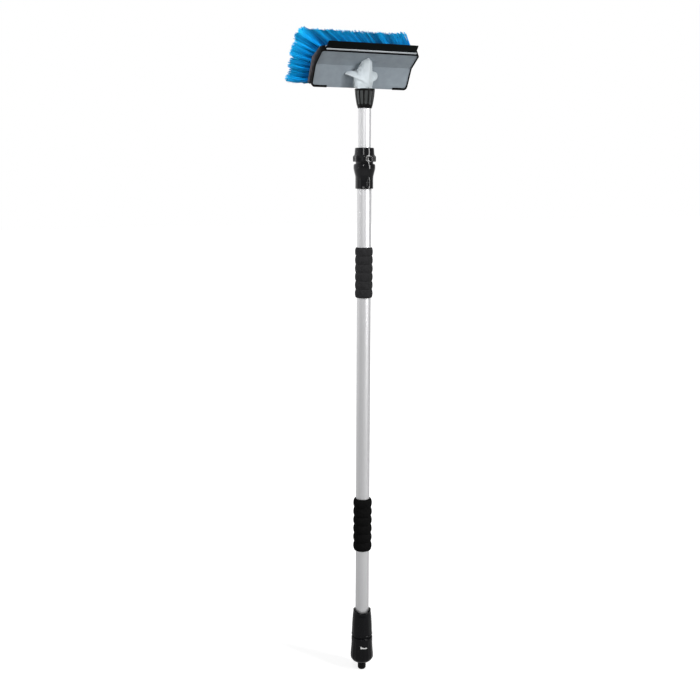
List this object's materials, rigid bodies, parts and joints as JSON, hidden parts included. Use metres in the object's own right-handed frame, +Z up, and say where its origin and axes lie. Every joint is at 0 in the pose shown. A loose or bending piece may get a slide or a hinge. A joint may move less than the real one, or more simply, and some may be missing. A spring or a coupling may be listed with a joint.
{
  "type": "telescopic wash and snow broom",
  "caption": "Telescopic flow-through wash and snow broom: a bent brush head with soft bristles and a squeegee on a twist-lock aluminium pole with foam grips and a hose valve.",
  "frame": {"origin": "on the pole's axis, in the middle of the lower foam grip", "axes": "+Z up the pole towards the brush head, +X along the head, +Y out along the lower bristles; the socket joins the head on its -Y side"},
  "size_m": [0.2118, 0.1353, 1.1774],
  "materials": {
    "tube_aluminium": "drawn tube, satin anodised",
    "panel_grey": "mid-grey satin moulding",
    "socket_grey": "pale grey satin moulding",
    "board_grey": "dark grey moulding",
    "bumper_rubber": "soft matt rubber",
    "blade_rubber": "smooth black rubber",
    "bristle_blue": "crimped blue filament with split ends",
    "satin_black": "satin black moulding",
    "gloss_black": "gloss black moulding",
    "grip_foam": "fine closed-cell foam",
    "inner_white": "natural white moulding",
    "seal_rubber": "black seal rubber",
    "mark_white": "white inlaid mark"
  },
  "bodies": {
    "outer_pole": {"outer_tube": "tube_aluminium", "upper_grip": "grip_foam", "lower_grip": "grip_foam", "clamp_body": "gloss_black", "clamp_collet": "inner_white", "hose_end_body": "satin_black", "tube_end_washer": "seal_rubber", "valve_core": "inner_white", "valve_seal_1": "seal_rubber", "valve_seal_2": "seal_rubber", "hose_nipple": "satin_black", "nipple_seal": "seal_rubber"},
    "inner_pole": {"inner_tube": "tube_aluminium", "slide_plug": "inner_white", "slide_seal_1": "seal_rubber", "slide_seal_2": "seal_rubber", "tube_end_fitting": "inner_white"},
    "clamp_nut": {"clamp_nut": "gloss_black"},
    "union_nut": {"union_nut": "satin_black"},
    "head": {"head_back_plate": "panel_grey", "tuft_board": "board_grey", "bumper": "bumper_rubber", "squeegee_rail": "panel_grey", "squeegee_blade": "blade_rubber", "lower_bristles_left": "bristle_blue", "lower_bristles_right": "bristle_blue", "upper_bristles_left": "bristle_blue", "upper_bristles_right": "bristle_blue", "handle_socket": "socket_grey", "socket_washer": "seal_rubber"},
    "valve_sleeve": {"valve_sleeve": "satin_black", "flow_mark": "mark_white"}
  },
  "joints": [
    {"name": "telescope", "type": "slide", "parent": "outer_pole", "child": "inner_pole", "axis": [0, 0, 1], "range_m": [0, 0.7]},
    {"name": "clamp_nut_turn", "type": "hinge", "parent": "outer_pole", "child": "clamp_nut", "pos_m": [0, 0, 0.675], "axis": [0, 0, 1], "range_deg": [0, 120]},
    {"name": "union_nut_turn", "type": "hinge", "parent": "inner_pole", "child": "union_nut", "pos_m": [0, 0, 0.77], "axis": [0, 0, 1], "range_deg": [0, 724]},
    {"name": "head_lift", "type": "slide", "parent": "inner_pole", "child": "head", "axis": [0, 0, 1], "range_m": [0, 0.01]},
    {"name": "valve_turn", "type": "hinge", "parent": "outer_pole", "child": "valve_sleeve", "pos_m": [0, 0, -0.249], "axis": [0, 0, 1], "range_deg": [0, 90]}
  ],
  "couplings": [
    {"joint": "union_nut_turn", "follows": "head_lift", "rad_per_m": 1256.6}
  ]
}
